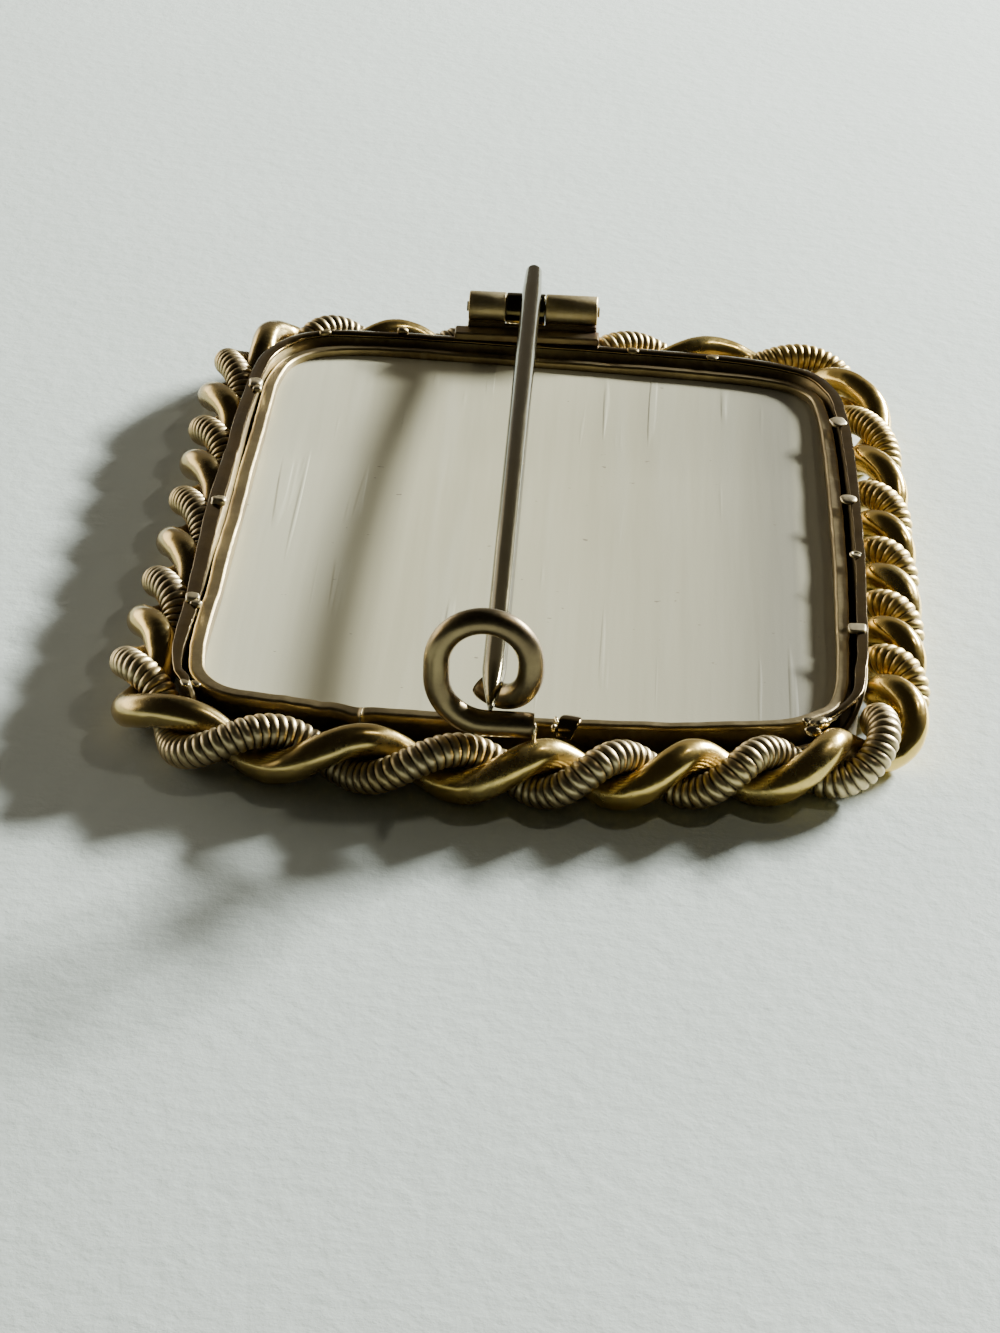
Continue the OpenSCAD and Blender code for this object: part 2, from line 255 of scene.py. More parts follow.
class Value:
    # a socket whose arithmetic adds Math nodes
    def __init__(self, paint, socket):
        self.paint = paint
        self.socket = socket

    def __add__(self, other):
        return self.paint.math("ADD", self, other)

    def __sub__(self, other):
        return self.paint.math("SUBTRACT", self, other)

    def __mul__(self, other):
        return self.paint.math("MULTIPLY", self, other)

    def __rsub__(self, other):
        return self.paint.math("SUBTRACT", other, self)

    __radd__ = __add__
    __rmul__ = __mul__


class Paint:
    # the nodes of one material, or of the room round the part
    def __init__(self, owner, end, coordinates):
        self.owner = owner
        owner.use_nodes = True
        self.nodes = owner.node_tree.nodes
        self.links = owner.node_tree.links
        self.shader = self.nodes[end]
        self.place = self.node("ShaderNodeTexCoord", {}, {}, coordinates)

    def node(self, kind, settings, inputs, output=0):
        made = self.nodes.new(kind)
        for key, value in settings.items():
            setattr(made, key, value)
        for key, value in inputs.items():
            self.feed(made.inputs[key], value)
        return Value(self, made.outputs[output])

    def feed(self, socket, value):
        if isinstance(value, Value):
            self.links.new(value.socket, socket)
        elif isinstance(value, tuple) and len(value) == 3 and socket.type == "RGBA":
            socket.default_value = (*value, 1)
        else:
            socket.default_value = value

    def math(self, operation, a, b):
        return self.node("ShaderNodeMath", {"operation": operation}, {0: a, 1: b})

    def clamp(self, value):
        return self.node("ShaderNodeClamp", {}, {0: value})

    def smooth(self, value, low, high):
        # 0 at low, 1 at high; low may be the larger one
        inputs = {"Value": value, "From Min": low, "From Max": high}
        return self.node("ShaderNodeMapRange", {"interpolation_type": "SMOOTHSTEP"}, inputs)

    def mix(self, factor, a, b):
        made = self.node("ShaderNodeMix", {"data_type": "RGBA"}, {}, 2)
        sockets = made.socket.node.inputs
        for index, value in ((0, factor), (6, a), (7, b)):
            self.feed(sockets[index], value)
        return made

    def noise(self, scale, detail=4.0, rough=0.55, stretch=(1, 1, 1), turn=(0, 0, 0)):
        at = self.node("ShaderNodeMapping", {}, {0: self.place, "Rotation": turn, "Scale": stretch})
        inputs = {"Vector": at, "Scale": scale, "Detail": detail, "Roughness": rough}
        return self.node("ShaderNodeTexNoise", {}, inputs)

    def axes(self):
        # the place along x, y and z by itself
        parts = self.node("ShaderNodeSeparateXYZ", {}, {0: self.place})
        return [Value(self, output) for output in parts.socket.node.outputs]

    def layer(self, name):
        return self.node("ShaderNodeAttribute", {"attribute_name": name}, {}, "Fac")

    def bump(self, height, distance, strength):
        inputs = {"Height": height, "Distance": distance, "Strength": strength}
        return self.node("ShaderNodeBump", {}, inputs)

    def finish(self, **sockets):
        for key, value in sockets.items():
            self.feed(self.shader.inputs[key.replace("_", " ")], value)
        return self.owner


def newPaint(name):
    return Paint(bpy.data.materials.new(name), "Principled BSDF", "Object")


metalLooks = {
    "agedColor": (0.44, 0.35, 0.175),
    "agedDark": (0.25, 0.19, 0.095),
    "agedBright": (0.58, 0.49, 0.29),
    "rimColor": (0.22, 0.156, 0.062),
    "rimDark": (0.14, 0.097, 0.040),
    "giltColor": (0.93, 0.66, 0.19),
    "giltWorn": (0.66, 0.51, 0.18),
    "giltDark": (0.20, 0.13, 0.045),
    "giltShadeTan": (0.51, 0.39, 0.165),   # painted shade: duller tan on the left and along the near side, the sides turned from the lamp
    "wireColor": (0.86, 0.63, 0.22),
    "wireSilver": (0.66, 0.535, 0.30),
    "wireDark": (0.085, 0.06, 0.032),
    # dark end of the hinge plate's painted shade
    "plateShadeDark": (0.15, 0.095, 0.055),
    "catchColor": (0.26, 0.20, 0.10),
    "catchDark": (0.17, 0.125, 0.068),
    "pinColor": (0.145, 0.122, 0.056),
    "pinDark": (0.09, 0.075, 0.033),
    "solderColor": (0.74, 0.64, 0.40),
    "clawColor": (0.78, 0.67, 0.44),
}


def brassPaint(name, dark, bright, rough, highlight=None, stretch=(1, 1, 1)):
    # old brass: cloudy tone, a little brighter where it is rubbed, fine unevenness
    p = newPaint(name)
    cloud = p.noise(240, 4, 0.55, stretch=stretch)
    fine = p.noise(2600, 4, 0.6, stretch=stretch)
    tone = p.smooth(cloud + (fine - 0.5) * 0.25, 0.30, 0.70)
    color = p.mix(tone, metalLooks[dark], metalLooks[bright])
    if highlight:
        rubbed = p.smooth(p.noise(620, 3, 0.5), 0.58, 0.75)
        color = p.mix(rubbed * 0.5, color, metalLooks[highlight])
    gloss = p.clamp(rough + 0.05 - tone * 0.08 + (fine - 0.5) * 0.18)
    normal = p.bump(p.noise(1100, 4, 0.6, stretch=stretch), 0.00003, 0.6)
    return p.finish(Base_Color=color, Metallic=1.0, Roughness=gloss, Normal=normal)


# Where each tone of the rope starts and where it is full, in metres: painted shade on the left (dark)
# and on the sides turned from the lamp (shade, near), painted light on the right (lit)
ropeTones = {
    "darkAcross": (-0.012, -0.021), "darkAlong": (-0.024, -0.010),
    "shadeAcross": (0.004, -0.018), "nearAlong": (-0.020, -0.027),
    "litAcross": (-0.002, 0.019), "litAlong": (-0.027, -0.019),
}


def leftShade(p, across, along):
    # painted shade: the rope darkened on the left, away from the lamp, most of all towards its far end
    return p.smooth(across, *ropeTones["darkAcross"]) * p.smooth(along, *ropeTones["darkAlong"]) * 0.35


def giltBrass():
    # gilding worn in patches; painted shade makes it a duller tan on the left and along the near side,
    # and darker on the left and in the crevices
    p = newPaint("giltBrass")
    cloud = p.noise(220, 4, 0.55)
    fine = p.noise(3000, 4, 0.6)
    worn = p.smooth(cloud + (fine - 0.5) * 0.2, 0.48, 0.70)
    color = p.mix(worn, metalLooks["giltColor"], metalLooks["giltWorn"])
    across, along = p.axes()[:2]
    near = p.smooth(along, *ropeTones["nearAlong"])
    # painted shade: duller tan, in patches, on the left and along the near side, turned from the lamp
    awayShade = p.smooth(across, *ropeTones["shadeAcross"]) * 0.65 + near * 0.2
    color = p.mix(p.clamp(awayShade * (cloud * 2.2 - 0.1)), color, metalLooks["giltShadeTan"])
    # painted shade, with some grime, on the strand's side that faces the other strand
    creviceGrimeAndShade = p.clamp(p.layer("creviceGrimeAndShade") + (fine - 0.5) * 0.3)
    color = p.mix(p.clamp(creviceGrimeAndShade + leftShade(p, across, along)), color, metalLooks["giltDark"])
    rough = p.clamp(0.18 + worn * 0.10 + near * 0.04 + creviceGrimeAndShade * 0.20 + (fine - 0.5) * 0.10)
    normal = p.bump(p.noise(520, 3, 0.5), 0.00008, 0.6)
    return p.finish(Base_Color=color, Metallic=1.0, Roughness=rough, Normal=normal)


def wornWire():
    # silvery brown winding; painted light makes it golden along the right side, where the lamp falls,
    # and painted shade darkens its grooves and its left side
    p = newPaint("wornWire")
    cloud = p.noise(160, 3, 0.5)
    fine = p.noise(4000, 3, 0.6)
    across, along = p.axes()[:2]
    # painted light: golden along the right side, which faces the lamp
    litGold = p.smooth(across, *ropeTones["litAcross"]) * p.smooth(along, *ropeTones["litAlong"])
    tone = p.clamp(p.smooth(cloud, 0.40, 0.62) * 0.5 + litGold - 0.1)
    color = p.mix(tone, metalLooks["wireSilver"], metalLooks["wireColor"])
    # painted shade, with some patina, deep in the grooves between the turns
    valley = p.clamp(p.layer("creviceGrimeAndShade") * 1.3 - 0.15 + (fine - 0.5) * 0.3)
    color = p.mix(p.clamp(valley + leftShade(p, across, along)), color, metalLooks["wireDark"])
    rough = p.clamp(0.38 + valley * 0.25 + (fine - 0.5) * 0.2)
    return p.finish(Base_Color=color, Metallic=1.0, Roughness=rough, Normal=p.bump(fine, 0.00002, 0.4))


porcelainLook = {
    "body": (0.535, 0.508, 0.348),
    "shade": (0.490, 0.463, 0.310),
    "light": (0.585, 0.572, 0.420),
    # colour of the painted shade towards the right
    "shadeColor": (0.20, 0.19, 0.14),
    "speck": (0.17, 0.14, 0.10),
    # across the plaque, in metres: where each starts and where it is full; painted light on the left,
    # painted shade towards the right, lifted again inside the lip's cast shadow
    "paleLeft": (-0.009, -0.016), "shadeWide": (-0.005, 0.016),
    "shadeRight": (0.010, 0.0165), "shadowLift": (0.0163, 0.0173),
}


def biscuitPorcelain():
    # unglazed back with lengthwise streaks and strokes, with painted light on the left and painted shade
    # towards the right
    look = porcelainLook
    p = newPaint("biscuitPorcelain")
    streak = p.noise(420, 3, 0.5, stretch=(1, 0.05, 1), turn=(0, 0, 0.06))
    wide = p.noise(110, 3, 0.5, stretch=(1, 0.25, 1), turn=(0, 0, -0.04))
    stroke = p.smooth(p.noise(900, 2, 0.4, stretch=(1, 0.03, 1), turn=(0, 0, 0.05)), 0.62, 0.70)
    stroke = stroke * p.smooth(p.noise(160, 2, 0.5, stretch=(1, 0.4, 1)), 0.50, 0.60)
    fine = p.noise(7000, 3, 0.6)
    color = p.mix(p.smooth(wide, 0.35, 0.65), look["shade"], look["body"])
    color = p.mix(p.smooth(streak, 0.50, 0.70) * 0.45, color, look["light"])
    color = p.mix(stroke * 0.4, color, look["light"])
    across = p.axes()[0]
    # painted light: paler on the left
    color = p.mix(p.smooth(across, *look["paleLeft"]) * 0.7, color, look["light"])
    # painted shade towards the right
    shadeAmount = p.smooth(across, *look["shadeWide"]) * 0.52 + p.smooth(across, *look["shadeRight"]) * 0.40
    # painted light: the shade taken back inside the hard shadow beside the right lip
    shadeAmount = shadeAmount - p.smooth(across, *look["shadowLift"]) * 0.48
    color = p.mix(shadeAmount, color, look["shadeColor"])
    speck = p.smooth(p.noise(1100, 2, 0.5, stretch=(1, 1.6, 1)), 0.745, 0.775)
    color = p.mix(speck * 0.8, color, look["speck"])
    height = streak * 0.8 + wide * 0.6 + fine * 0.08 + stroke * 0.4
    normal = p.bump(height, 0.00012, 0.6)
    return p.finish(Base_Color=color, Roughness=0.5, Normal=normal, Specular_IOR_Level=0.35)


def tableTop():
    p = newPaint("tableTop")
    grain = p.noise(750, 5, 0.62)
    wide = p.noise(60, 3, 0.5)
    color = p.mix(p.smooth(wide, 0.3, 0.7), (0.665, 0.735, 0.685), (0.690, 0.760, 0.710))
    return p.finish(Base_Color=color, Roughness=0.6, Normal=p.bump(grain, 0.00018, 0.45))


aged = brassPaint("agedBrass", "agedDark", "agedColor", 0.38, "agedBright")
rimMetal = brassPaint("rimBrass", "rimDark", "rimColor", 0.13)
barrelMetal = brassPaint("barrelBrass", "agedColor", "agedBright", 0.46)
# painted shade: the hinge plate in darker brass, as in the shade under the knuckles
plateShadeMetal = brassPaint("plateShadeBrass", "plateShadeDark", "catchColor", 0.38)
catchMetal = brassPaint("catchBrass", "catchDark", "catchColor", 0.32)
solderMetal = brassPaint("solder", "agedBright", "solderColor", 0.24)
clawMetal = brassPaint("clawBrass", "agedBright", "clawColor", 0.36)
gilt = giltBrass()
wound = wornWire()
pinDark = brassPaint("pinBrass", "pinDark", "pinColor", 0.15, stretch=(1, 0.2, 1))
porcelain = biscuitPorcelain()
print("materials made")

# Rope border
ropeShape = {
    "fineSteps": 6000,
    "strandRadius": 1.0,
    "gap": 0.06,
    "smoothRings": 1100,
    "smoothSides": 28,
    "ridges": 470,
    "ridgeSides": 26,
    "ridgeSteps": 6,
    "finer": 4,   # points of the middle line for each ring
    "ridgeDepth": 0.18,
    "inset": 0.02,
    "dents": [(0.04, 0.5, 0.0), (0.022, 1.3, 5.2)],   # size, scale, seed; so in every piece
}


def strandLine(side, count):
    # middle of one strand, and the way from the rope's middle to it
    line = closedLine(ropePlan["rows"], ropeShape["fineSteps"], ropePlan["turns"])
    out = outwards(line)
    off = ropeShape["strandRadius"] + ropeShape["gap"] / 2
    a = np.radians(90 + side) + 2 * np.pi * line[:, 2]
    way = np.stack([out[:, 0] * np.cos(a), out[:, 1] * np.cos(a), np.sin(a)], 1)
    mid = np.stack([line[:, 0], line[:, 1], np.full(len(line), 2 * off)], 1)
    both = evenSpots(np.hstack([mid + way * off, way]), count)
    return both[:, :3], both[:, 3:]


def strandSides(middle, way):
    step = np.roll(middle, -1, 0) - np.roll(middle, 1, 0)
    step /= np.linalg.norm(step, axis=1)[:, None]
    a = way - step * np.sum(way * step, axis=1)[:, None]
    a /= np.linalg.norm(a, axis=1)[:, None]
    return a, np.cross(step, a)


def smoothStrand():
    s = ropeShape
    middle, way = strandLine(0, s["smoothRings"])
    a, b = strandSides(middle, way)
    points, creviceGrimeAndShade = [], []
    for i in range(s["smoothRings"]):
        for k in range(s["smoothSides"]):
            q = 2 * math.pi * k / s["smoothSides"]
            spot = middle[i] + a[i] * math.cos(q) + b[i] * math.sin(q)
            r = s["strandRadius"] - s["inset"] + uneven(s["dents"], *spot)
            points.append(middle[i] + r * (a[i] * math.cos(q) + b[i] * math.sin(q)))
            # painted shade, with some grime, strongest on the side facing the other strand
            creviceGrimeAndShade.append(max(0.0, -math.cos(q)) ** 2)
    faces = gridFaces(s["smoothRings"], s["smoothSides"], True)
    stands = ["smooth_strand"]
    makePiece("smoothStrand", points, faces, gilt, "frame", stands, layers={"creviceGrimeAndShade": creviceGrimeAndShade})


def woundStrand():
    # the wire winding: each ring of points runs along a ridge, so that the grooves stay sharp
    s = ropeShape
    rings = s["ridges"] * s["ridgeSteps"]
    fineCount = rings * s["finer"]
    middle, way = strandLine(180, fineCount)
    a, b = strandSides(middle, way)
    points, valley = [], []
    climb = s["ridgeSteps"]
    for i in range(rings):
        height = math.sin(math.pi * (i % s["ridgeSteps"]) / s["ridgeSteps"]) ** 0.5
        for k in range(s["ridgeSides"]):
            at = int(round((i + climb * k / s["ridgeSides"]) * s["finer"])) % fineCount
            q = 2 * math.pi * k / s["ridgeSides"]
            r = s["strandRadius"] - s["inset"] - s["ridgeDepth"] * (1 - height)
            points.append(middle[at] + r * (a[at] * math.cos(q) + b[at] * math.sin(q)))
            # how deep in a groove each point lies; it drives the painted shade there
            valley.append(1 - height)
    faces = gridFaces(rings, s["ridgeSides"], True, climb)
    stands = ["wound_strand"]
    makePiece("woundStrand", points, faces, wound, "frame", stands, layers={"creviceGrimeAndShade": valley})


smoothStrand()
woundStrand()
print("rope border made")

# Bezel: one strip bent round the plaque, its ends meeting at a seam on the near side
bezelShape = {
    "seamX": -8.65,
    "seamGap": 0.05,
    "nearSide": -20,
    "fineSteps": 4000,
    "count": 700,
    "sway": [(0.05, 0.35, 3.1), (0.02, 1.3, 7.7)],
    "heave": [(0.06, 0.30, 8.7), (0.02, 1.1, 2.7)],
    "swayFrom": 2.3, "swayTo": 3.2, "lowSway": 0.4,
    "lipFrom": 2.9, "lipWidth": 0.7,   # above this height the strip is its rolled lip
    "corners": [   # outward from the lip's inner edge, height, rounding
        (-0.36, 0.64, 0.05), (0.46, 0.64, 0.08), (0.46, 2.98, 0.06), (0.74, 3.06, 0.06),
        (0.76, 3.38, 0.14), (0.60, 3.47, 0.20), (0.12, 3.50, 0.10), (0.0, 3.38, 0.08),
        (0.0, 2.56, 0.03), (0.24, 2.54, 0.03), (0.24, 0.86, 0.02), (-0.36, 0.84, 0.04),
    ],
    "widths": [   # the lip's width from place to place: x, y, extra width, extra drop of its outer face
        (-18.5, 0.0, 0.17, 0.0), (-18.5, -18.0, 0.17, 0.0), (-12.0, -25.0, 0.10, 0.20),
        (-5.0, -25.7, 0.05, 0.15), (4.0, -25.8, -0.14, -0.06), (14.0, -24.8, -0.14, -0.06),
        (18.6, -19.5, -0.05, 0.0), (18.8, -10.0, 0.06, 0.0), (18.9, 8.0, 0.09, 0.0),
        (15.0, 23.0, 0.0, 0.0), (0.0, 24.5, 0.0, 0.0), (-15.0, 24.6, 0.0, 0.0),
        (-18.4, 16.0, 0.12, 0.0),
    ],
    "dents": [   # x, y, reach, push outward, lift
        (-9.0, -25.5, 0.7, 0.22, -0.10), (18.75, -13.6, 0.25, 0.0, -0.14),
        (18.8, -14.6, 0.9, -0.05, -0.05),
        (-13.2, -25.0, 0.5, 0.0, 0.06), (-11.0, -25.3, 0.4, 0.04, -0.06), (9.0, -25.6, 1.2, 0.0, -0.05),
        (4.5, -25.9, 1.0, 0.03, 0.05), (12.5, -25.2, 1.5, 0.0, 0.04), (18.9, -5.0, 1.0, 0.0, 0.05),
        (-18.45, -8.0, 1.5, 0.03, 0.05), (0.5, 24.5, 2.0, 0.0, -0.05), (9.0, 23.8, 2.0, 0.0, 0.05),
    ],
}


def nearness(rows, x, y):
    # mean of the rows' last columns, weighted towards the nearest rows
    table = np.array(rows, float)
    weight = 1 / (0.5 + (table[:, 0] - x) ** 2 + (table[:, 1] - y) ** 2) ** 2
    return (table[:, 2:] * weight[:, None]).sum(0) / weight.sum()


def bezelBand():
    b = bezelShape
    profile = roundCorners(b["corners"], 3)
    line = evenSpots(closedLine(lipPlan, b["fineSteps"]), b["fineSteps"])
    near = np.where(line[:, 1] < b["nearSide"], np.abs(line[:, 0] - b["seamX"]), np.inf)
    line = np.roll(line, -int(np.argmin(near)), 0)
    out = outwards(line)
    total = np.linalg.norm(np.roll(line, -1, 0) - line, axis=1).sum()
    points = []
    for i in range(b["count"]):
        t = (b["seamGap"] / 2 + (total - b["seamGap"]) * i / (b["count"] - 1)) / total * len(line)
        k = min(int(t), len(line) - 1)
        mid, way = line[k], out[k]
        wide, drop = nearness(b["widths"], *mid)
        sway, heave = uneven(b["sway"], *mid), uneven(b["heave"], *mid)
        push, lift = 0.0, 0.0
        for x, y, reach, dPush, dLift in b["dents"]:
            fall = math.exp(-((mid[0] - x) ** 2 + (mid[1] - y) ** 2) / reach ** 2)
            push += dPush * fall
            lift += dLift * fall
        for off, z in profile:
            up = ramp(z, b["swayFrom"], b["swayTo"])
            onLip = 1.0 if z > b["lipFrom"] else 0.0
            outer = ramp(off, 0.0, b["lipWidth"]) * onLip
            swung = sway * up * (1.0 if onLip else b["lowSway"])
            p = mid + way * (off + (wide + push) * outer + swung)
            dropped = drop * outer if z < b["swayTo"] else 0.0
            points.append((p[0], p[1], z + (heave + lift) * up * onLip - dropped))
    faces = gridFaces(b["count"], len(profile), False) + endFaces(b["count"], len(profile))
    makePiece("bezelBand", points, faces, aged, "frame", ["bezel"])


bezelBand()
print("bezel made")

# Plaque: its back is warped a little, higher along the far edge, and its hidden face is a gentle dome
plaqueShape = {
    "middle": (0.1, -0.6),
    "back": 2.5, "edge": 0.9, "faceLow": 0.3, "faceRadius": 800, "domeInset": 0.42, "reach": 0.17,
    "warp": 0.45, "warpStart": 8.0, "warpEnd": 24.0,
    "sides": 360, "rings": 40,
}


def porcelainPlaque():
    s = plaqueShape
    line = evenSpots(closedLine(lipPlan, planSteps), s["sides"])
    out = outwards(line)
    middle = np.array(s["middle"])
    points = []

    def ring(edge, share, height):
        for x, y in middle + (edge - middle) * share:
            points.append((x, y, height(x, y)))

    def backHeight(x, y):
        u = ramp(y, s["warpStart"], s["warpEnd"])
        return s["back"] + s["warp"] * u * u * (3 - 2 * u)

    def domeHeight(x, y):
        bulge = s["faceRadius"] - math.sqrt(s["faceRadius"] ** 2 - x * x - y * y)
        return min(s["edge"], s["faceLow"] + bulge)

    wide, narrow = line + out * s["reach"], line - out * s["domeInset"]
    for i in range(s["rings"]):
        ring(wide, (i + 0.5) / (s["rings"] - 0.5), backHeight)
    ring(wide, 1.0, lambda x, y: s["edge"])
    ring(narrow, 1.0, lambda x, y: s["edge"])
    for i in range(s["rings"]):
        ring(narrow, 1 - i / s["rings"], domeHeight)
    count = len(points) // s["sides"]
    faces = [tuple(reversed(face)) for face in gridFaces(count, s["sides"], False)]
    faces += endFaces(count, s["sides"])
    piece = makePiece("porcelainSlab", points, faces, porcelain, "frame", ["plaque"])
    piece.data.set_sharp_from_angle(angle=math.radians(30))


porcelainPlaque()
print("plaque made")

# Setting: low wall with its ledge, the flat rim strip along three sides, and what is soldered to them
wallShape = {
    "corners": [   # outward from the plan, height, rounding
        (-1.24, 0.32, 0.05), (-0.90, 0.32, 0.05), (-0.90, 2.60, 0.4), (-0.62, 3.45, 0.3),
        (-0.55, 3.84, 0.05), (-0.82, 3.86, 0.05), (-0.98, 3.40, 0.3), (-1.24, 2.60, 0.4),
    ],
    "count": 520,
    "sway": [(0.02, 0.5, 4.4)],
    "bend": 2.0, "top": 3.86,
    "nearTop": 2.3,   # along the near side, under the bezel's lip
    "nearFrom": -21.5, "nearTo": -24.5,
    "leftFrom": -18.6, "leftTo": -19.4,   # it is full again at the left corner
}
rimShape = {
    "thick": 0.24,
    "top": 4.02,
    "count": 560,
    "sway": [(0.035, 0.5, 5.5), (0.018, 1.6, 9.1)],
    "heave": [(0.035, 0.4, 1.5), (0.015, 1.4, 6.1)],
    "rows": [   # outer edge: x, y, width, height over the usual top, height of its middle ridge
        (16.95, -25.75, 0.50, -0.42, 0.02), (17.75, -25.15, 0.52, -0.30, 0.03),
        (18.65, -24.15, 0.50, -0.14, 0.04), (19.45, -22.95, 0.52, -0.05, 0.03),
        (20.0, -21.6, 0.60, 0.0, 0.02), (20.25, -19.3, 0.66, 0.0, 0.01),
        (20.48, -16.8, 0.66, 0.02, 0.01), (20.66, -10.4, 0.66, 0.0, 0.01),
        (20.80, -5.0, 0.62, 0.02, 0.01), (20.83, 2.0, 0.60, 0.0, 0.01),
        (20.75, 11.2, 0.70, 0.0, 0.01), (20.5, 16.5, 0.72, 0.0, 0.02),
        (19.9, 20.8, 0.75, 0.0, 0.03), (17.9, 24.1, 0.80, 0.0, 0.04),
        (13.0, 25.75, 0.80, 0.0, 0.04), (5.0, 26.45, 0.80, 0.0, 0.04),
        (-4.0, 26.9, 0.80, 0.0, 0.04), (-12.0, 27.2, 0.80, 0.0, 0.05),
        (-17.0, 26.5, 0.80, 0.0, 0.06), (-19.8, 22.4, 0.85, 0.0, 0.07),
        (-20.45, 14.0, 0.85, 0.0, 0.07), (-20.52, 6.3, 0.85, 0.0, 0.07),
        (-20.66, -1.2, 0.98, 0.02, 0.07), (-20.5, -8.3, 0.92, 0.0, 0.07),
        (-20.33, -15.0, 0.88, 0.0, 0.06), (-20.3, -20.0, 0.74, 0.02, 0.05),
        (-19.93, -23.1, 0.50, 0.0, 0.05), (-19.35, -24.5, 0.60, 0.0, 0.05),
        (-18.77, -25.5, 0.06, -0.04, 0.0),
    ],
}


def settingWall():
    w = wallShape
    profile = roundCorners(w["corners"], 4)
    line = evenSpots(closedLine(wallPlan, planSteps), w["count"])
    out = outwards(line)
    squeeze = (w["nearTop"] - w["bend"]) / (w["top"] - w["bend"])
    points = []
    for i in range(w["count"]):
        x, y = line[i]
        near = ramp(y, w["nearFrom"], w["nearTo"]) * ramp(x, w["leftTo"], w["leftFrom"])
        sway = uneven(w["sway"], x, y)
        for off, z in profile:
            low = min(z, w["bend"]) + max(0.0, z - w["bend"]) * squeeze
            p = line[i] + out[i] * (off + sway)
            points.append((p[0], p[1], z + (low - z) * near))
    faces = gridFaces(w["count"], len(profile), True)
    makePiece("settingWall", points, faces, aged, "frame", ["setting"])


def rimStrip():
    r = rimShape
    rows = openLine(r["rows"], r["count"])
    step = np.gradient(rows[:, :2], axis=0)
    step /= np.linalg.norm(step, axis=1)[:, None]
    out = np.stack([step[:, 1], -step[:, 0]], 1)
    points = []
    for i, (x, y, wide, lift, ridge) in enumerate(rows):
        sway = uneven(r["sway"], x, y)
        top = r["top"] + lift + uneven(r["heave"], x, y)
        low = top - r["thick"]
        e = min(0.06, wide * 0.2)   # rounding of the two upper edges
        shape = [
            (0.0, low + 0.03), (0.0, top - 0.06), (-e * 0.4, top - 0.015), (-e, top),
            (-wide * 0.42, top + ridge), (-wide * 0.55, top + ridge), (-wide + e, top - 0.02),
            (-wide + e * 0.4, top - 0.04), (-wide, top - 0.09), (-wide, low + 0.02), (-wide + 0.05, low),
            (-0.05, low),
        ]
        for off, z in shape:
            p = rows[i, :2] + out[i] * (off + sway)
            points.append((p[0], p[1], z))
    faces = gridFaces(r["count"], len(shape), False) + endFaces(r["count"], len(shape))
    makePiece("rimStrip", points, faces, rimMetal, "frame", ["setting"])


# Flat ring from the wall's foot in under the bezel; its reaches run outward from the two plans
ledgeShape = {"count": 300, "low": 0.32, "top": 0.54, "wallReach": -1.0, "lipReach": 0.1}


def ledge():
    s = ledgeShape
    outer = evenSpots(closedLine(wallPlan, planSteps), s["count"])
    outer = outer + outwards(outer) * s["wallReach"]
    inner = closedLine(lipPlan, planSteps)
    inner = inner + outwards(inner) * s["lipReach"]
    points = []
    for spot in outer:
        near = inner[np.argmin(np.linalg.norm(inner - spot, axis=1))]
        points += [(*spot, s["low"]), (*spot, s["top"]), (*near, s["top"]), (*near, s["low"])]
    faces = gridFaces(s["count"], 4, True)
    makePiece("settingLedge", points, faces, aged, "frame", ["setting"], smooth=False)


def squarer(value, power):
    # a sine or cosine pushed outwards, keeping its sign
    return math.copysign(abs(value) ** power, value)


def lump(centre, half, turn=0.0, power=2.0, rough=0.0, seed=0.0):
    # rounded block or bead; a higher power makes it squarer
    sides, rings = 28, 16
    points = []
    c, s = math.cos(math.radians(turn)), math.sin(math.radians(turn))
    for i in range(rings + 1):
        up = math.pi * (i / rings - 0.5)
        level = squarer(math.cos(up), 2 / power)
        for k in range(sides):
            q = 2 * math.pi * k / sides
            x = level * squarer(math.cos(q), 2 / power) * half[0]
            y = level * squarer(math.sin(q), 2 / power) * half[1]
            z = squarer(math.sin(up), 2 / power) * half[2]
            grow = 1 + rough * wobble(x, y, z, scale=2, seed=seed)
            x, y, z = x * grow, y * grow, z * grow
            points.append((centre[0] + x * c - y * s, centre[1] + x * s + y * c, centre[2] + z))
    ends = [tuple(reversed(face)) for face in endFaces(rings + 1, sides)]
    return points, gridFaces(rings + 1, sides, False) + ends


